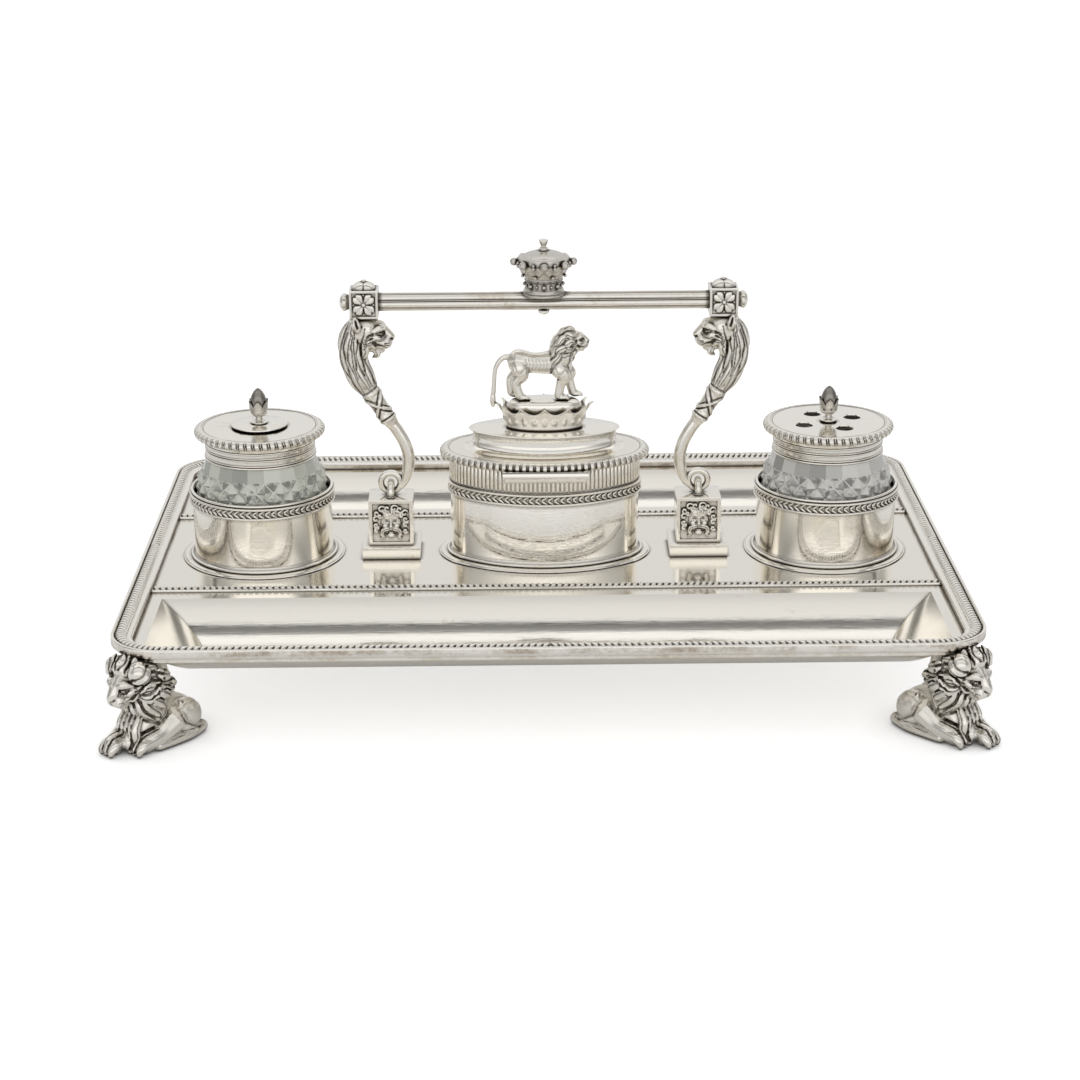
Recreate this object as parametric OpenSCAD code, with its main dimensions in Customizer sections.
// Desk inkstand: a footed tray with two bottles, a lidded oval box and a swing handle.
// Millimetres. Origin on the desk under the tray's centre, +X to the right, -Y to the front, +Z up.

/* [Tray] */
// Length of the tray over its border
tray_w = 380; // [340:1:460]
// Depth of the tray over its border
tray_d = 276; // [250:1:340]
// Height of the border's top above the desk
rim_top = 48; // [44:1:64]
// Corner radius of the tray's outline
tray_corner_r = 24; // [18:1:32]
// Width of the raised border
border_w = 9.5; // [8:0.5:12]
// Height of the border's outer face
border_face_h = 4.3; // [3:0.1:5]
// Drop from the border's top to the tray's floor
floor_drop = 5.3; // [5.1:0.1:8]
// Thickness of the tray's sheet
sheet_t = 1.5; // [1:0.1:2]

/* [Pen troughs] */
// Depth of each pen trough below the tray's floor
trough_depth = 17; // [8:0.5:20]
// Length over which each end of a trough slopes down
trough_end_run = 22; // [12:1:30]
// Flat land between a trough and the border along its side
trough_side_land = 4.5; // [1:0.5:8]
// Flat land between a trough and the border at its ends
trough_end_land = 5.5; // [2:0.5:10]
// Flat land between a trough and its divider
trough_divider_land = 7.9; // [1:0.1:12]

/* [Dividers] */
// Distance of each divider from the tray's centre line
divider_y = 51.8; // [48:0.5:60]
// Width of a divider over its foot
divider_w = 5; // [4:0.5:7]
// Height of a divider above the tray's floor
divider_h = 2.3; // [1.6:0.1:4]

/* [Bottle wells] */
// Distance from a well's centre to the end of the tray
well_edge = 56.2; // [52:0.5:64]
// Outer radius of a well's foot flange
well_flange_r = 38.3; // [36:0.1:44]
// Outer radius of a well's wall
well_r = 32.8; // [30:0.1:34]
// Thickness of a well's wall
well_t = 1; // [0.6:0.1:1.6]
// Height of a well above the tray's floor
well_h = 34.3; // [28:0.1:40]
// Width of the laurel bands
band_h = 5.8; // [4:0.1:8]
// How far the laurel bands stand out from the walls
band_out = 1.5; // [1:0.1:2]

/* [Bottles] */
// Radial gap between a bottle and the wall of its well
bottle_gap = 0.8; // [0.4:0.1:2]
// Thickness of the glass
glass_t = 4; // [2.5:0.1:6]
// Height of the bottle's shoulder above the tray's floor
shoulder_h = 43.3; // [40:0.1:50]
// Outer radius of the glass neck
neck_r = 22.6; // [20:0.1:24]
// Outer radius of the silver collar
collar_r = 26.5; // [25:0.1:28]
// Height of the silver collar
collar_h = 16; // [10:0.5:20]
// Outer radius of a bottle lid's gadroon rim
cap_r = 30.7; // [29:0.1:32]
// Thickness of a bottle lid at its rim
cap_rim_h = 4; // [3:0.1:5]
// Depth of the skirt under a bottle lid
cap_skirt_h = 6; // [3:0.5:9]
// Radial gap between a lid's skirt and the glass neck
cap_fit = 0.08; // [0.04:0.01:0.1]
// Radius of a quill hole
quill_r = 4; // [3:0.1:5]
// Distance of the quill holes from the lid's centre
quill_ring_r = 13.5; // [11:0.5:14.5]
// Turn of the ring of quill holes, degrees
quill_turn = 27; // [0:1:89]
// Radius of the disc under the ink lid's bud
disc_r = 13.2; // [10:0.1:16]
// Height of a bud finial above the lid
bud_h = 17; // [12:0.5:22]
// Greatest radius of a bud finial
bud_r = 3.9; // [3:0.1:5]

/* [Centre box] */
// Half length of the box wall's oval
box_a = 44.5; // [42:0.1:47]
// Half width of the box wall's oval
box_b = 27.8; // [25:0.1:31]
// Radius of the oval's end arcs
box_end_r = 19; // [15:0.5:22]
// How far the box frame's foot flange stands out
box_flange_out = 5.7; // [4:0.1:8]
// Height of the box frame above the tray's floor
box_frame_h = 37.2; // [30:0.1:42]
// Thickness of the box frame's wall
box_wall_t = 1; // [0.6:0.1:1.6]
// Gap between the drum and the frame it stands in
drum_gap = 0.3; // [0.2:0.1:1]
// Height of the reeded collar at the top of the drum
drum_collar_h = 11; // [8:0.5:16]
// Number of reeds round the drum
reeds = 110; // [60:2:140]
// Thickness of the lid's plate
lid_t = 1.4; // [1:0.1:2]
// How far the lid's rim stands out from the drum
lid_out = 5; // [4:0.1:6]
// Height of the lid's gadroon rim
lid_rim_h = 4; // [3:0.1:5]
// Gap between the lid's locating bezel and the drum's inside
bezel_gap = 1.6; // [1.3:0.1:3]
// How far the raised stage stands in from the drum's outer face
stage_in = 9; // [7:0.1:12]
// Height of the stage's top above the lid's rim
stage_h = 6; // [4:0.1:9]

/* [Hinge] */
// Length of the hinge over its five knuckles
hinge_w = 38.5; // [30:0.5:44]
// Outer radius of the hinge knuckles
knuckle_r = 2.1; // [1.8:0.1:2.4]
// Radius of the hinge pin
hinge_pin_r = 0.9; // [0.7:0.05:1.1]
// Radial gap between the pin and the moving knuckles
pin_fit = 0.05; // [0.02:0.01:0.1]
// Gap between neighbouring knuckles
knuckle_gap = 0.15; // [0.1:0.05:0.4]

/* [Coronets and lion] */
// Half length of the lid coronet's foot
crown_a = 17.9; // [15:0.1:20]
// Half width of the lid coronet's foot
crown_b = 9.6; // [8:0.1:12]
// Height of the lid coronet
crown_h = 12.5; // [9:0.5:16]
// Height of the lion above the cushion
lion_h = 38; // [30:0.5:40]
// Radius of the handle coronet's foot
bar_crown_r = 9.7; // [8:0.1:12]
// Height of the handle coronet over its cap
bar_crown_h = 19.2; // [15:0.1:22]
// Height of the screw's knob above the handle coronet
knob_h = 5; // [3:0.5:7]

/* [Plinths] */
// Distance of each plinth from the middle
plinth_x = 72.8; // [70:0.1:76]
// Width of a plinth's die
die_w = 21; // [18:0.5:24]
// Depth of a plinth's die
die_d = 18.5; // [16:0.5:24]
// Height of a plinth's top above the tray's floor
plinth_h = 28.5; // [24:0.5:34]
// Height of a plinth's base slab
base_h = 6; // [4:0.5:8]
// How far the base slab stands out from the die
base_out = 3.2; // [2:0.1:5]
// Radius of a staple's wire
staple_wire_r = 1.65; // [1.2:0.05:1.8]
// Radius of a staple's arch to the middle of its wire
staple_r = 4.5; // [4.3:0.1:6]

/* [Handle] */
// Height of the handle bar's axis above the handle's pivot
bar_rise = 92.2; // [84:0.1:104]
// Radius of the handle bar
bar_r = 4.4; // [3.6:0.1:5]
// Distance of each cube collar's centre from the middle
cube_x = 83; // [80:0.1:88]
// Width of a cube collar
cube_w = 13.2; // [11:0.1:15]
// Radius of the eye at the foot of each hook, to the middle of its wire
eye_r = 4.6; // [4.4:0.1:5.4]
// Radius of the eye's wire
eye_wire_r = 1.5; // [1.2:0.05:1.6]
// Radius of the plain rod above the eye
rod_r = 2.9; // [2.4:0.1:3.4]
// Gap between the eye and the plinth's top
eye_fit = 0.05; // [0.02:0.01:0.1]

/* [Hidden] */
$fn = 64;
floor_z = rim_top - floor_drop;
under_z = floor_z - sheet_t;
inner_w = tray_w - 2*border_w;
well_x = tray_w/2 - well_edge;
silver = "silver";
old_silver = "darkgray";
glass_tint = [0.8, 0.88, 0.86, 0.6];

// ---------- shared shapes ----------

// A flat rectangle with round corners
module rounded_plate(w, d, r) {
    square([w - 2*r, d], center = true);
    square([w, d - 2*r], center = true);
    for (x = [-1, 1], y = [-1, 1]) {
        translate([x*(w/2 - r), y*(d/2 - r)]) circle(r);
    }
}

// Sweeps a profile round a rounded rectangle. Profile x runs inward from the outline, y is height.
module round_the_tray(w, d, r) {
    for (half = [0, 180]) {
        rotate(half) translate([0, -d/2, 0]) rotate([90, 0, 90])
            linear_extrude(w - 2*r, center = true) children();
        rotate(half) translate([w/2, 0, 0]) rotate([90, 0, 180])
            linear_extrude(d - 2*r, center = true) children();
        rotate(half) translate([w/2 - r, d/2 - r, 0])
            rotate_extrude(angle = 90) translate([r, 0]) mirror([1, 0]) children();
        rotate(half) translate([-(w/2 - r), d/2 - r, 0]) rotate(90)
            rotate_extrude(angle = 90) translate([r, 0]) mirror([1, 0]) children();
    }
}

// A rounded lump of a casting, r is a radius or three half sizes
module lump(p, r, n = 7) {
    translate(p) scale(r) sphere(1, $fn = n);
}

// A limb or lock of hair between two lumps
module limb(p, r, q, s, n = 7) {
    hull() {
        lump(p, r, n);
        lump(q, s, n);
    }
}

// ---------- tray ----------

trough_y0 = divider_y + divider_w/2 + trough_divider_land;
trough_y1 = tray_d/2 - border_w - trough_side_land;
trough_half = (trough_y1 - trough_y0)/2;
trough_mid = (trough_y1 + trough_y0)/2;
trough_r = (trough_half*trough_half + trough_depth*trough_depth)/(2*trough_depth);
trough_len = inner_w/2 - trough_end_land;
trough_slope = atan(trough_depth/trough_end_run);

// Half length of a trough at height z, its end faces moved out by grow
function trough_end(z, grow) = trough_len + grow/sin(trough_slope) + (z - floor_z)/tan(trough_slope);

// The body of one trough, grown outward by grow and closed at height top
module trough_body(grow, top) {
    low = floor_z - trough_depth - grow - 1;
    intersection() {
        translate([0, trough_mid, floor_z - trough_depth + trough_r]) rotate([0, 90, 0])
            cylinder(r = trough_r + grow, h = tray_w, center = true, $fn = 160);
        translate([0, trough_mid + 2*trough_half, 0]) rotate([90, 0, 0])
            linear_extrude(4*trough_half)
            polygon([[-trough_end(top, grow), top], [trough_end(top, grow), top],
                [trough_end(low, grow), low], [-trough_end(low, grow), low]]);
    }
}

// Everything of the tray with its troughs left solid, from its underside up
module tray_mass() {
    translate([0, 0, under_z]) linear_extrude(sheet_t)
        rounded_plate(tray_w - 2*border_lip, tray_d - 2*border_lip, tray_corner_r - border_lip);
    for (side = [0, 180]) {
        rotate(side) trough_body(sheet_t, floor_z);
    }
}

module tray() {
    color(silver) difference() {
        tray_mass();
        for (side = [0, 180]) {
            rotate(side) trough_body(0, floor_z + 1);
        }
    }
}

border_lip = 2.4;
bead_r = 0.9;
rib_mid = 4.2;
rib_half = 2.6;
rib_r = 2.75;

// Section of the border: lip, round outer edge, rib band, plain sloping strip and step
module border_section() {
    face_z = rim_top - border_face_h;
    strip_z = rim_top - 2;
    polygon([[0, face_z], [border_lip, face_z], [border_lip, floor_z], [border_w - 0.5, floor_z],
        [border_w - 0.5, rim_top - 3.1], [border_w - 0.2, rim_top - 2.8], [border_w - 0.8, strip_z - 0.3],
        [border_w - 2.7, strip_z], [1.6, strip_z], [1.4, rim_top - 0.9], [0, rim_top - 0.9]]);
    translate([0.75, rim_top - 0.75]) circle(0.75, $fn = 24);
    translate([0, rim_top - 1.2]) square([0.75, 0.45]);
    intersection() {
        translate([rib_mid, rim_top - rib_r]) circle(rib_r, $fn = 48);
        translate([rib_mid - rib_half, strip_z]) square([2*rib_half, 3]);
    }
}

module rim_border() {
    color(old_silver) round_the_tray(tray_w, tray_d, tray_corner_r) border_section();
}

// A strip across the tray, standing on its floor: a rounded ridge between two sloping edges
module divider(side) {
    half = divider_w/2;
    ridge = divider_h - bead_r;
    color(old_silver) translate([0, side*divider_y, floor_z]) rotate([90, 0, 90])
        linear_extrude(inner_w, center = true) {
            polygon([[-half, 0], [half, 0], [half, ridge*0.45], [half - 0.9, ridge*0.7],
                [0.9 - half, ridge*0.7], [-half, ridge*0.45]]);
            translate([-bead_r - 0.4, 0]) square([2*bead_r + 0.8, ridge]);
            intersection() {
                translate([0, divider_h - bead_r - 0.6]) circle(bead_r + 0.6, $fn = 32);
                translate([-half, 0]) square([divider_w, 2*divider_h]);
            }
        }
}

module front_divider() { divider(-1); }

module rear_divider() { divider(1); }

// ---------- lion castings ----------

// A lion's head: skull centre at the origin, facing +X, skull radius 1
module lion_head() {
    lump([0, 0, 0.05], [0.95, 0.8, 0.85]);
    limb([0.45, 0, -0.1], [0.6, 0.6, 0.5], [1.05, 0, -0.25], [0.42, 0.45, 0.36], 6);
    limb([0.45, 0, 0.4], [0.35, 0.42, 0.3], [1.38, 0, -0.02], [0.22, 0.27, 0.18], 5);
    limb([0.35, 0, -0.62], [0.4, 0.4, 0.2], [0.98, 0, -0.72], [0.34, 0.34, 0.2], 4);
    for (s = [-1, 1]) {
        limb([0.62, s*0.5, 0.38], [0.24, 0.2, 0.16], [0.66, s*0.16, 0.5], [0.28, 0.2, 0.2], 4);
        lump([-0.1, s*0.74, 0.62], [0.24, 0.2, 0.36], 4);
    }
}

// Locks of the mane in a ring round a head: n locks, spread and length in skull radii
module mane_ring(n, from_x, from_r, to_x, to_r, drop) {
    for (i = [0:n - 1]) {
        a = 360*(i + 0.5)/n;
        limb([from_x, from_r*cos(a), from_r*sin(a)], [0.34, 0.3, 0.3],
            [to_x, to_r*cos(a), to_r*sin(a) - drop], [0.46, 0.34, 0.38], 4);
    }
}

// A couchant lion facing +X, lying on the desk, its head higher than the tray's underside
module couchant_lion() {
    head_r = 8.4;
    translate([10.5, 0, 29]) rotate([0, 12, 0]) scale(head_r) lion_head();
    translate([8, 0, 29]) rotate([0, 8, 0]) scale(head_r) mane_ring(8, 0.15, 0.95, -0.7, 1.12, 0.1);
    limb([5, 0, 34], [10, 10.5, 8], [5, 0, 22], [9.5, 10, 9], 6);
    limb([7, 0, 14], [9.5, 9, 11], [-13, 0, 9], [10.5, 9, 9.5], 6);
    for (s = [-1, 1]) {
        limb([-15, s*7, 8.4], [8, 5, 8], [-5, s*9.5, 4.4], [6, 4.5, 4.8], 6);
        limb([-6, s*10, 2.4], [6, 3.6, 3], [5, s*10.5, 2], [4.5, 3.4, 2.6], 5);
        limb([3, s*8, 7], [5, 4.4, 6], [18, s*6.8, 3.4], [6, 4.2, 4.2], 6);
        for (t = [-1:1]) {
            limb([20, s*6.8 + t*2.6, 2.8], [4, 1.6, 3.2], [26, s*6.8 + t*2.9, 1.5], [2.6, 1.6, 2.3], 4);
        }
        limb([12, s*4.4, 21], [3.4, 2.4, 4], [12, s*3.6, 10.5], [2, 1.6, 2], 4);
        limb([5, s*8.4, 20], [3.4, 2.4, 4], [5, s*8.2, 11], [2, 1.6, 2], 4);
    }
}

// A couchant lion at one corner, turned outward, cut to seat under the tray
module foot(x, y) {
    reach = tray_corner_r*(1 - sqrt(0.5)) + 13.5;
    color(old_silver) difference() {
        translate([x*(tray_w/2 - reach), y*(tray_d/2 - reach), 0]) rotate(atan2(y, x)) couchant_lion();
        translate([-tray_w, -tray_d, -20]) cube([2*tray_w, 2*tray_d, 20]);
        translate([0, 0, under_z]) linear_extrude(rim_top) square([tray_w + 40, tray_d + 40], center = true);
        for (side = [0, 180]) {
            rotate(side) trough_body(sheet_t + 0.2, floor_z);
        }
    }
}

module foot_front_left() { foot(-1, -1); }

module foot_front_right() { foot(1, -1); }

module foot_rear_left() { foot(-1, 1); }

module foot_rear_right() { foot(1, 1); }

// ---------- wells and bottles ----------

flange_t = 1.2;
well_in = well_r - well_t;
bottle_r = well_in - bottle_gap;
neck_in = neck_r - glass_t*0.7;
shoulder_z = floor_z + shoulder_h;
cap_z = shoulder_z + collar_h;
cap_top = cap_z + cap_rim_h;

// Puts a turned piece on the axis of the left or right well
module at_well(side) {
    translate([side*well_x, 0, 0]) children();
}

module well_frame(side) {
    color(silver) at_well(side) rotate_extrude($fn = 128) {
        translate([well_in, floor_z]) square([well_t, well_h]);
        translate([well_in, floor_z]) square([well_flange_r - well_in, flange_t*0.6]);
        translate([well_in, floor_z]) square([well_flange_r - well_in - 0.8, flange_t]);
        translate([well_in, floor_z]) square([well_t + 1.6, flange_t + 1.4]);
        translate([well_r, floor_z + well_h - 0.7]) circle(0.7, $fn = 24);
    }
}

// Section of a laurel band: two fillets and a rounded middle, x out from the wall, y up from its foot
module band_section() {
    square([band_out*0.6, band_h]);
    for (y = [0.6, band_h - 0.6]) {
        translate([band_out - 0.6, y]) circle(0.6, $fn = 20);
        translate([0, y - 0.6]) square([band_out - 0.6, 1.2]);
    }
    translate([0, 1]) square([band_out - 0.3, band_h - 2]);
}

module well_band(side) {
    color(old_silver) at_well(side) rotate_extrude($fn = 128)
        translate([well_r, floor_z + well_h - 1.4 - band_h]) band_section();
}

module ink_well_frame() { well_frame(-1); }

module quill_well_frame() { well_frame(1); }

module ink_well_band() { well_band(-1); }

module quill_well_band() { well_band(1); }

// The glass bottle: straight wall in the well, a spreading shoulder, a neck inside the collar
module glass(side) {
    rim_z = floor_z + well_h;
    color(glass_tint) at_well(side) rotate_extrude($fn = 96)
        polygon([[0, floor_z], [bottle_r - 1, floor_z], [bottle_r, floor_z + 1], [bottle_r, rim_z - 2],
            [bottle_r, rim_z + 1], [collar_r - 0.6, shoulder_z], [neck_r, shoulder_z],
            [neck_r, cap_z - 1], [neck_in, cap_z - 1], [neck_in, shoulder_z - 2],
            [bottle_r - glass_t, rim_z - 4], [bottle_r - glass_t, floor_z + glass_t + 2],
            [bottle_r - glass_t - 2, floor_z + glass_t], [0, floor_z + glass_t]]);
}

// The silver collar cemented over the neck, turned with rings
module collar(side) {
    color(silver) at_well(side) rotate_extrude($fn = 96) {
        translate([neck_r, shoulder_z]) square([collar_r - neck_r - 1, collar_h]);
        for (y = [1.2, 4.4, collar_h - 1.2]) {
            translate([neck_r, shoulder_z + y - 1.2]) square([collar_r - neck_r - 1.2, 2.4]);
            translate([collar_r - 1.2, shoulder_z + y]) circle(1.2, $fn = 24);
        }
    }
}

// A bottle lid without its holes: gadroon rim, low dome and a skirt that enters the neck
module cap_blank() {
    skirt_in = neck_in - cap_fit - 1;
    rotate_extrude($fn = 96) {
        difference() {
            union() {
                translate([0, cap_z + cap_rim_h - 1.6]) square([cap_r - 2.6, 1.6]);
                translate([cap_r - 5, cap_z]) square([3.2, cap_rim_h]);
                translate([cap_r - cap_rim_h/2, cap_z + cap_rim_h/2]) circle(cap_rim_h/2, $fn = 32);
                translate([skirt_in, cap_z - cap_skirt_h]) square([1, cap_skirt_h + cap_rim_h - 1]);
                translate([skirt_in, cap_z]) square([cap_r - neck_in, 1]);
            }
            translate([-1, 0]) square([1, rim_top + cap_top]);
        }
    }
}

// A bud in its calyx on a short stem, foot at the origin
module bud() {
    stem_h = bud_h*0.3;
    swell_h = bud_h - stem_h;
    color(old_silver) rotate_extrude($fn = 32)
        polygon(concat([[0, 0], [bud_r*0.75, 0], [bud_r*0.75, 1], [bud_r*0.4, 1.6], [bud_r*0.4, stem_h]],
            [for (i = [1:7]) [bud_r*(0.4 + 0.6*sin(22.5*i)), stem_h + swell_h*i/9]],
            [[bud_r*0.25, bud_h - 0.6], [0, bud_h]]));
}

module ink_glass() { glass(-1); }

module ink_collar() { collar(-1); }

module ink_lid() {
    color(silver) at_well(-1) cap_blank();
}

disc_t = 1.2;

module ink_lid_disc() {
    seat = disc_t/2;
    color(silver) at_well(-1) translate([0, 0, cap_top]) {
        cylinder(r = disc_r*0.8, h = disc_t);
        translate([0, 0, seat]) cylinder(r = disc_r, h = disc_t - seat);
    }
}

module ink_bud() {
    at_well(-1) translate([0, 0, cap_top + disc_t]) bud();
}

module quill_glass() { glass(1); }

module quill_collar() { collar(1); }

module quill_lid() {
    color(silver) at_well(1) difference() {
        cap_blank();
        for (i = [0:3]) {
            rotate(quill_turn + 90*i) translate([quill_ring_r, 0, cap_z - cap_skirt_h])
                cylinder(r = quill_r, h = cap_skirt_h + cap_rim_h + 2, $fn = 32);
        }
    }
}

module quill_bud() {
    at_well(1) translate([0, 0, cap_top]) bud();
}

// ---------- centre box ----------

oval_c1 = box_a - box_end_r;
oval_side_r = (oval_c1*oval_c1 + box_b*box_b - box_end_r*box_end_r)/(2*(box_b - box_end_r));
oval_c2 = oval_side_r - box_b;
oval_turn = atan2(oval_c2, oval_c1);

// The box wall's oval, four tangent arcs, grown outward by grow
module oval(grow) {
    meet = oval_c1 + (box_end_r + grow)*cos(oval_turn);
    intersection() {
        translate([0, -oval_c2]) circle(oval_side_r + grow, $fn = 200);
        translate([0, oval_c2]) circle(oval_side_r + grow, $fn = 200);
        square([2*meet, 4*box_b], center = true);
    }
    for (s = [-1, 1]) {
        translate([s*oval_c1, 0]) circle(box_end_r + grow, $fn = 96);
    }
}

frame_top = floor_z + box_frame_h;
lid_z = frame_top + drum_collar_h;
lid_rim_top = lid_z + lid_rim_h;
stage_z = lid_rim_top + stage_h;

// An upright oval ring from height z, between two offsets of the wall's oval
module oval_ring(z, h, inner, outer) {
    translate([0, 0, z]) linear_extrude(h) difference() {
        oval(outer);
        oval(inner);
    }
}

module box_frame() {
    color(silver) {
        oval_ring(floor_z, box_frame_h, -box_wall_t, 0);
        oval_ring(floor_z, flange_t*0.6, -box_wall_t, box_flange_out);
        oval_ring(floor_z, flange_t, -box_wall_t, box_flange_out - 0.8);
        oval_ring(floor_z, flange_t + 1.4, -box_wall_t, 1.6);
    }
}

// The laurel band round the box: two fillets and a raised middle, stepped like the wells' bands
module box_band() {
    foot = frame_top - band_h - 0.4;
    color(old_silver) {
        oval_ring(foot, band_h, 0, band_out*0.6);
        oval_ring(foot, 1.2, 0, band_out);
        oval_ring(foot + band_h - 1.2, 1.2, 0, band_out);
        oval_ring(foot + 1.6, band_h - 3.2, 0, band_out - 0.3);
    }
}

drum_wall = 1.2;
drum_in = -box_wall_t - drum_gap - drum_wall;
reed_out = 0.5;

// Distance from the oval's centre to its outline in direction a, for the oval grown by grow
function oval_reach(a, grow) =
    let (u = abs(cos(a)), v = abs(sin(a)))
    atan2(v, u) < atan2((box_end_r + grow)*sin(oval_turn), oval_c1 + (box_end_r + grow)*cos(oval_turn))
        ? oval_c1*u + sqrt(pow(box_end_r + grow, 2) - pow(oval_c1*v, 2))
        : -oval_c2*v + sqrt(pow(oval_side_r + grow, 2) - pow(oval_c2*u, 2));

// The drum: a plain oval cup in the frame, and a reeded collar over the frame's top
module box_drum() {
    color(silver) difference() {
        union() {
            translate([0, 0, floor_z]) linear_extrude(lid_z - floor_z) oval(-box_wall_t - drum_gap);
            translate([0, 0, frame_top]) linear_extrude(drum_collar_h)
                polygon([for (i = [0:2*reeds - 1])
                    let (a = 180*i/reeds, r = oval_reach(a, i % 2 == 0 ? reed_out : 0))
                    [r*cos(a), r*sin(a)]]);
        }
        translate([0, 0, floor_z + 1.5]) linear_extrude(lid_z) oval(drum_in);
    }
}

module box_lid() {
    color(silver) {
        translate([0, 0, lid_rim_top - lid_t]) linear_extrude(lid_t) oval(lid_out - 3);
        difference() {
            translate([0, 0, lid_z - 0.8]) linear_extrude(lid_rim_h) oval(drum_in - bezel_gap);
            translate([0, 0, lid_z - 2]) linear_extrude(lid_rim_h - lid_t + 2)
                oval(drum_in - bezel_gap - 1);
        }
    }
}

gadroons = 96;
gadroon_ripple = 0.4;

// Outline of the lid's rim at offset grow, rippled by its gadroons
module gadroon_outline(grow, ripple) {
    polygon([for (i = [0:2*gadroons - 1])
        let (a = 180*i/gadroons, r = oval_reach(a, grow + (i % 2 == 0 ? ripple : 0)))
        [r*cos(a), r*sin(a)]]);
}

// The gadroon rim: a ring of ribs whose middle stands out past its top and foot
module lid_rim() {
    swell = lid_rim_h/3;
    crest = lid_out - gadroon_ripple;
    color(old_silver) difference() {
        union() {
            translate([0, 0, lid_z]) linear_extrude(lid_rim_h) gadroon_outline(crest - swell, gadroon_ripple);
            translate([0, 0, lid_z + swell]) linear_extrude(lid_rim_h - 2*swell)
                gadroon_outline(crest, gadroon_ripple);
        }
        translate([0, 0, lid_z - 1]) linear_extrude(lid_rim_h + 2) oval(-1);
        translate([0, 0, lid_rim_top - lid_t]) linear_extrude(lid_rim_h) oval(lid_out - 3);
    }
}

hinge_y = -(box_b + reed_out + knuckle_r);
hinge_z = lid_z - knuckle_r - 0.8;
knuckle_w = hinge_w/5;

// One hinge knuckle, number i from the left, with its bore
module knuckle(i, bore_r) {
    translate([-hinge_w/2 + i*knuckle_w + knuckle_gap/2, hinge_y, hinge_z]) rotate([0, 90, 0])
        difference() {
            cylinder(r = knuckle_r, h = knuckle_w - knuckle_gap, $fn = 32);
            translate([0, 0, -1]) cylinder(r = bore_r, h = knuckle_w + 2, $fn = 32);
        }
}

// The three knuckles on the drum, each on a short web
module hinge_fixed_leaf() {
    color(silver) difference() {
        union() {
            for (i = [0, 2, 4]) {
                knuckle(i, hinge_pin_r);
                translate([-hinge_w/2 + i*knuckle_w + knuckle_gap/2, hinge_y, hinge_z - knuckle_r])
                    cube([knuckle_w - knuckle_gap, knuckle_r + 2.4, knuckle_r]);
            }
        }
        translate([-hinge_w, hinge_y, hinge_z]) rotate([0, 90, 0])
            cylinder(r = hinge_pin_r, h = 2*hinge_w, $fn = 32);
        translate([0, 0, hinge_z - 2*knuckle_r]) linear_extrude(4*knuckle_r)
            polygon([for (i = [0:2*reeds - 1])
                let (a = 180*i/reeds, r = oval_reach(a, i % 2 == 0 ? reed_out : 0))
                [r*cos(a), r*sin(a)]]);
    }
}

// The two knuckles under the lid's rim
module hinge_moving_leaf() {
    color(silver) difference() {
        union() {
            for (i = [1, 3]) {
                knuckle(i, hinge_pin_r + pin_fit);
                translate([-hinge_w/2 + i*knuckle_w + knuckle_gap/2, hinge_y - 1, hinge_z])
                    cube([knuckle_w - knuckle_gap, 2, lid_z - hinge_z]);
            }
        }
        translate([-hinge_w, hinge_y, hinge_z]) rotate([0, 90, 0])
            cylinder(r = hinge_pin_r + pin_fit, h = 2*hinge_w, $fn = 32);
    }
}

module hinge_pin() {
    color(silver) translate([-hinge_w/2, hinge_y, hinge_z]) rotate([0, 90, 0])
        cylinder(r = hinge_pin_r, h = hinge_w, $fn = 32);
}

// The raised oval on the lid: a spreading foot, a plain wall and a thin overhanging plate
module lid_stage() {
    color(silver) {
        translate([0, 0, lid_rim_top]) linear_extrude(0.6) oval(-stage_in + 1.6);
        translate([0, 0, lid_rim_top]) linear_extrude(1.4) oval(-stage_in - 0.6);
        translate([0, 0, lid_rim_top]) linear_extrude(stage_h - 1) oval(-stage_in - 2);
        translate([0, 0, stage_z - 1]) linear_extrude(1) oval(-stage_in);
    }
}

// ---------- coronets ----------

// A wall that flares from its foot to a scalloped top: foot and top half sizes, height of the dips
module scalloped_crown(foot, top, height, dip, wall, points, steps) {
    n = points*steps;
    function rim(i) = height - dip*sin(180*((i % steps)/steps));
    function lean(z) = z/height;
    function at(i, z, in) = let (a = 360*i/n, k = lean(z))
        [(foot[0] + (top[0] - foot[0])*k - in)*cos(a), (foot[1] + (top[1] - foot[1])*k - in)*sin(a), z];
    verts = [for (i = [0:n - 1]) each [at(i, 0, 0), at(i, rim(i), 0), at(i, rim(i), wall), at(i, 0, wall)]];
    polyhedron(verts, [for (i = [0:n - 1], k = [0:3])
        [4*i + k, 4*i + (k + 1) % 4, 4*((i + 1) % n) + (k + 1) % 4, 4*((i + 1) % n) + k]], convexity = 6);
}

crown_wall = 1.1;
cushion_h = crown_h + 1.6;

module lid_coronet() {
    color(old_silver) translate([0, 0, stage_z])
        scalloped_crown([crown_a, crown_b], [crown_a + 4.4, crown_b + 4.4], crown_h, 3.4, crown_wall, 12, 4);
}

// The cap inside the coronet, with the flat top that the lion stands on
module lid_cushion() {
    a = crown_a - crown_wall - 0.5;
    b = crown_b - crown_wall - 0.5;
    color(silver) translate([0, 0, stage_z]) scale([1, b/a, 1]) rotate_extrude($fn = 64) {
        square([a - 1, cushion_h]);
        square([a, cushion_h - 5]);
        translate([a - 1.2, cushion_h - 2.6]) circle(2.6, $fn = 32);
    }
}

lion_drawn_h = 36.6;
paw_sink = 0.5;

// The lion that stands on the lid, facing right, its tail hanging behind
module lid_lion() {
    unit = lion_h/lion_drawn_h;
    color(old_silver) translate([0, 0, stage_z + cushion_h]) difference() {
        scale(unit) translate([0, 0, -paw_sink]) lion_figure();
        translate([0, 0, -lion_h]) cube(2*lion_h, center = true);
    }
}

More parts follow.
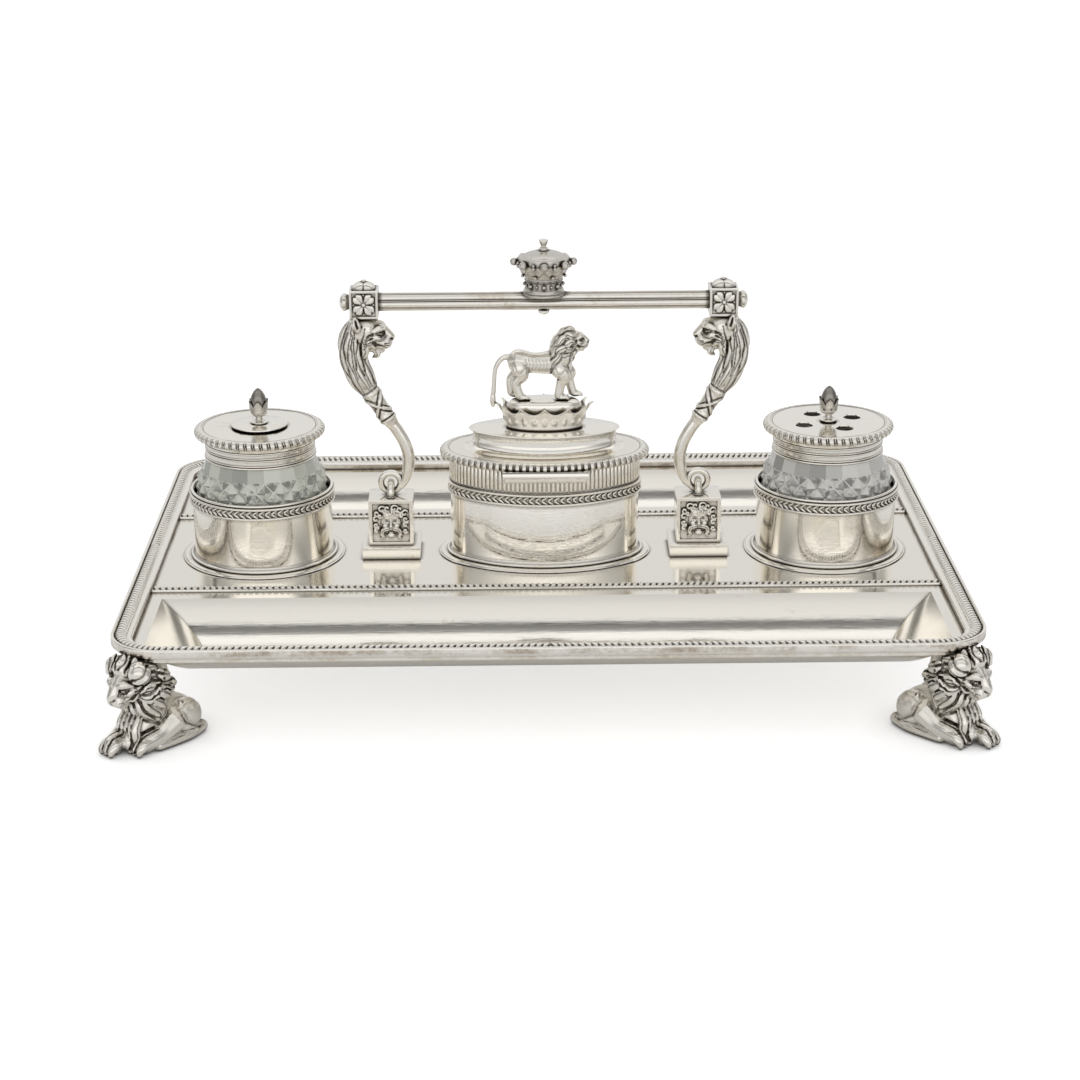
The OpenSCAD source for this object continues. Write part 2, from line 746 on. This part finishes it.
// The lion at the size it is drawn, its paws just below the ground
module lion_figure() {
    translate([14, 0, 30.8]) scale(5.6) lion_head();
    translate([13, 0, 30]) scale(5.6) mane_ring(8, 0.1, 0.9, -0.7, 1.0, 0.2);
    limb([10, 0, 29], [6.4, 6, 7], [8, 0, 21], [6.2, 5.4, 7]);
    limb([7.5, 0, 19], [6, 5.2, 7], [-3, 0, 19.5], [6, 4.6, 5.4]);
    limb([-3, 0, 19.5], [6, 4.6, 5.4], [-11.5, 0, 20], [5.2, 5, 6]);
    for (t = [0:2]) {
        limb([15 - t*3, 0, 24 - t], [2.4, 4.2, 3], [12.5 - t*3, 0, 14.5], [1.8, 2.2, 2], 6);
    }
    lion_leg([8.5, -3.2, 15], [9, -3.4, 8], [8.2, -3.4, 1.6], 4);
    lion_leg([10, 3.2, 15], [13.5, 3.4, 9], [15.5, 3.4, 1.6], 4);
    lion_leg([-11.5, -3.2, 16], [-13, -3.4, 8.5], [-11, -3.4, 1.6], 4);
    lion_leg([-12, 3.2, 16], [-15.5, 3.4, 9], [-15, 3.4, 1.6], 4);
    limb([-16, 0, 21], 1.6, [-21.5, 0, 18], 1.2, 6);
    limb([-21.5, 0, 18], 1.2, [-23.5, 0, 10], 1.1, 6);
    limb([-23.5, 0, 10], 1.1, [-23.8, 0, 1.5], 1.5, 6);
}

// A leg from hip to hock to paw
module lion_leg(hip, hock, paw, reach) {
    limb(hip, [3.2, 2.4, 4.4], hock, [1.9, 1.7, 2.4], 6);
    limb(hock, [1.9, 1.7, 2.4], paw, [1.8, 1.7, 1.6], 6);
    limb(paw, [1.8, 1.8, 1.6], paw + [reach, 0, -0.1], [1.6, 2, 1.5], 5);
}

// ---------- plinths and staples ----------

plinth_top = floor_z + plinth_h;
pivot_z = plinth_top + eye_wire_r + eye_fit;

// A square die with a sunk panel on its front and rear, on a plain base
module plinth(side) {
    panel = die_w - 3.6;
    panel_h = plinth_h - base_h - 3.6;
    color(silver) translate([side*plinth_x, 0, floor_z]) difference() {
        union() {
            translate([-die_w/2, -die_d/2, 0]) cube([die_w, die_d, plinth_h]);
            translate([-die_w/2 - base_out, -die_d/2 - base_out, 0])
                cube([die_w + 2*base_out, die_d + 2*base_out, base_h]);
        }
        for (turn = [0, 180]) {
            rotate(turn) translate([-panel/2, -die_d/2 - 1, base_h + 1.8]) cube([panel, 1.9, panel_h]);
        }
        for (y = [-1, 1]) {
            translate([0, y*staple_r, plinth_h - 3]) cylinder(r = staple_wire_r, h = 4, $fn = 32);
        }
    }
}

// A wire arch across the eye, its legs let into the plinth
module staple(side) {
    color(old_silver) translate([side*plinth_x, 0, 0]) {
        translate([0, 0, pivot_z]) rotate([90, 0, 90])
            rotate_extrude(angle = 180, $fn = 64) translate([staple_r, 0]) circle(staple_wire_r, $fn = 32);
        for (y = [-1, 1]) {
            translate([0, y*staple_r, plinth_top - 3])
                cylinder(r = staple_wire_r, h = pivot_z - plinth_top + 3, $fn = 32);
        }
    }
}

module plinth_left() { plinth(-1); }

module plinth_right() { plinth(1); }

module staple_left() { staple(-1); }

module staple_right() { staple(1); }

// ---------- handle ----------

bar_z = pivot_z + bar_rise;
cube_in = cube_x - cube_w/2;

// Mirrors a piece drawn for the left side onto the right
module on_side(side) {
    if (side < 0) children();
    else mirror([1, 0, 0]) children();
}

rosette_r = 4.6;
panel_sink = 0.8;

// Middle line of the arm's neck, x and height above the pivot, from the ferrule to the cube
ferrule = [-73, 35.6];
neck_line = [[-75.5, 39.6], [-79.2, 45.8], [-83.4, 52.3], [-87, 59], [-89.8, 66.5], [-90, 74.5],
    [-87.5, 80.5]];
neck_size = [4.2, 4.7, 5.4, 6.3, 6.9, 6.9, 6.2];

// The upper end of the hook's rod, which also bores the socket in the ferrule
module rod_end() {
    limb([-69, 0, 30], rod_r, [ferrule[0], 0, ferrule[1]], rod_r, 10);
}

// The hook: an eye round the staple's arch, and a rod that bends up into the ferrule
module hook() {
    color(old_silver) translate([0, 0, pivot_z]) {
        translate([-plinth_x, 0, eye_r]) rotate([90, 0, 0])
            rotate_extrude($fn = 64) translate([eye_r, 0]) circle(eye_wire_r, $fn = 24);
        limb([-plinth_x + eye_r + 0.2, 0, eye_r + 1], eye_wire_r, [-65.6, 0, 9.2], rod_r*0.85, 10);
        limb([-65.6, 0, 9.2], rod_r*0.85, [-64.2, 0, 16.5], rod_r, 10);
        limb([-64.2, 0, 16.5], rod_r, [-65.6, 0, 23.5], rod_r, 10);
        limb([-65.6, 0, 23.5], rod_r, [-69, 0, 30], rod_r, 10);
        rod_end();
    }
}

// The cast arm: ferrule, crossed straps, shaggy neck and a lion's head under the cube
module arm() {
    n = len(neck_line);
    color(old_silver) translate([0, 0, pivot_z]) difference() {
        union() {
            limb([ferrule[0] + 0.8, 0, ferrule[1] - 1.2], 3.9, [neck_line[0][0], 0, neck_line[0][1]], 4.3, 8);
            for (i = [0:n - 2]) {
                limb([neck_line[i][0], 0, neck_line[i][1]], neck_size[i],
                    [neck_line[i + 1][0], 0, neck_line[i + 1][1]], neck_size[i + 1], 8);
            }
            for (s = [-1, 1]) {
                limb([-71.6, s*1.6, 42.6], 1.2, [-81.4, s*4.6, 46.4], 1.1, 5);
                limb([-76.4, s*4.2, 50.8], 1.2, [-78, s*4.8, 40.8], 1.1, 5);
            }
            for (i = [0:2], s = [-1, 0, 1]) {
                limb([-93 + i*1.2, s*(3.4 + i*0.6), 76 - i*8.4], [2.6, 2.4, 5],
                    [-88.6 + i*1.6, s*(5 + i*0.1), 64 - i*6], [1.8, 1.7, 3], 4);
            }
            translate([-83.6, 0, 77.2]) rotate([0, 14, 0]) scale(7.2) lion_head();
        }
        translate([-cube_x - cube_w, -cube_w, bar_rise - cube_w/2]) cube(2*cube_w);
        rod_end();
    }
}

// A cube collar with sunk panels, bored for the bar, and a domed rosette in the top panel
module cube_collar() {
    panel = cube_w - 2.2;
    face = cube_w/2;
    color(old_silver) translate([-cube_x, 0, bar_z]) {
        difference() {
            cube(cube_w, center = true);
            rotate([0, 90, 0]) cylinder(r = bar_r, h = 2*cube_w, center = true, $fn = 48);
            for (turn = [0, 180, 270]) {
                rotate([turn, 0, 0]) translate([-panel/2, -face - 1, -panel/2])
                    cube([panel, 1 + panel_sink, panel]);
            }
        }
        translate([0, 0, face - panel_sink - 0.4]) cylinder(r = rosette_r, h = panel_sink + 0.9, $fn = 40);
        translate([0, 0, face + 0.3]) scale([1, 1, 0.6]) sphere(rosette_r*0.55, $fn = 32);
    }
}

// A bud nut on the bar's end
module bar_nut() {
    nut_x = -cube_x - cube_w/2;
    color(old_silver) translate([nut_x, 0, bar_z]) rotate([0, -90, 0]) rotate_extrude($fn = 40) {
        square([bar_r*0.75, 1.4]);
        intersection() {
            square([bar_r, 7]);
            translate([0, 1.6]) circle(bar_r*1.02, $fn = 48);
        }
    }
}

module hook_left() { on_side(-1) hook(); }

module hook_right() { on_side(1) hook(); }

module arm_left() { on_side(-1) arm(); }

module arm_right() { on_side(1) arm(); }

module cube_left() { on_side(-1) cube_collar(); }

module cube_right() { on_side(1) cube_collar(); }

module bar_nut_left() { on_side(-1) bar_nut(); }

module bar_nut_right() { on_side(1) bar_nut(); }

screw_r = 1.4;
saddle = 1.4;
crown_foot_h = 3.6;
bar_reed_r = 2.1;
reed_inset = 0.12;
bar_core_r = bar_r - bar_reed_r - reed_inset;
bar_reeds = 6;
reed_turn = 13;

// The reeded grip: six reeds, plain where it passes through the cubes and under the coronet
module handle_bar() {
    color(silver) translate([0, 0, bar_z]) difference() {
        union() {
            rotate([0, 90, 0]) linear_extrude(2*cube_in, center = true) {
                circle(bar_core_r, $fn = 48);
                for (i = [0:bar_reeds - 1]) {
                    rotate(reed_turn + 360*(i + 0.5)/bar_reeds) translate([bar_core_r, 0])
                        circle(bar_reed_r, $fn = 24);
                }
            }
            rotate([0, 90, 0]) cylinder(r = bar_r, h = 2*bar_crown_r - 2, center = true, $fn = 48);
            for (s = [-1, 1]) {
                translate([s*cube_x, 0, 0]) rotate([0, 90, 0])
                    cylinder(r = bar_r, h = cube_w, center = true, $fn = 48);
            }
        }
        cylinder(r = screw_r, h = 4*bar_r, center = true, $fn = 24);
    }
}

// The coronet on the bar: a foot ring, a scalloped wall and the cap inside
module bar_coronet() {
    wall_h = bar_crown_h*0.62;
    color(old_silver) translate([0, 0, bar_z + bar_r]) difference() {
        union() {
            translate([0, 0, -saddle]) cylinder(r = bar_crown_r, h = crown_foot_h + saddle, $fn = 48);
            translate([0, 0, crown_foot_h])
                cylinder(r1 = bar_crown_r - 0.8, r2 = bar_crown_r + 3.6, h = wall_h - crown_foot_h, $fn = 48);
            for (a = [0:45:315]) {
                rotate(a) translate([bar_crown_r + 4, 0, wall_h + 0.6]) sphere(1.9, $fn = 20);
            }
            translate([0, 0, wall_h]) scale([1, 1, 0.62]) sphere(bar_crown_r + 2.4, $fn = 48);
        }
        translate([0, 0, -bar_r - 1]) cylinder(r = screw_r, h = 3*bar_crown_h, $fn = 24);
        translate([0, 0, -2*bar_crown_r - saddle]) cylinder(r = 3*bar_crown_r, h = 2*bar_crown_r);
        translate([0, 0, -bar_r]) rotate([0, 90, 0])
            cylinder(r = bar_r, h = 4*bar_crown_r, center = true, $fn = 48);
    }
}

coronet_top = bar_crown_h*0.62 + 0.62*(bar_crown_r + 2.4);

// The long screw that holds the coronet, with its turned knob
module coronet_screw() {
    color(silver) translate([0, 0, bar_z]) {
        translate([0, 0, -bar_r - 2]) cylinder(r = screw_r, h = 2*bar_r + 2 + coronet_top, $fn = 24);
        translate([0, 0, bar_r + coronet_top]) rotate_extrude($fn = 32) {
            square([1.6, knob_h - 0.6]);
            square([2.3, 0.9]);
            intersection() {
                translate([0, knob_h - 3]) square([3, 3]);
                translate([0, knob_h - 2.2]) circle(2.2, $fn = 32);
            }
        }
    }
}

// The nut that draws the screw down under the bar
module coronet_nut() {
    color(silver) translate([0, 0, bar_z - bar_r - 1.5]) difference() {
        cylinder(r = 2.6, h = 1.5, $fn = 32);
        translate([0, 0, -1]) cylinder(r = screw_r, h = 4, $fn = 24);
    }
}

tray();
rim_border();
front_divider();
rear_divider();
foot_front_left();
foot_front_right();
foot_rear_left();
foot_rear_right();
ink_well_frame();
quill_well_frame();
ink_well_band();
quill_well_band();
box_frame();
box_band();
box_drum();
hinge_fixed_leaf();
hinge_pin();
plinth_left();
plinth_right();
staple_left();
staple_right();
box_lid();
lid_rim();
hinge_moving_leaf();
lid_stage();
lid_coronet();
lid_cushion();
lid_lion();
ink_glass();
ink_collar();
ink_lid();
ink_lid_disc();
ink_bud();
quill_glass();
quill_collar();
quill_lid();
quill_bud();
hook_left();
hook_right();
arm_left();
arm_right();
cube_left();
cube_right();
handle_bar();
bar_nut_left();
bar_nut_right();
bar_coronet();
coronet_screw();
coronet_nut();
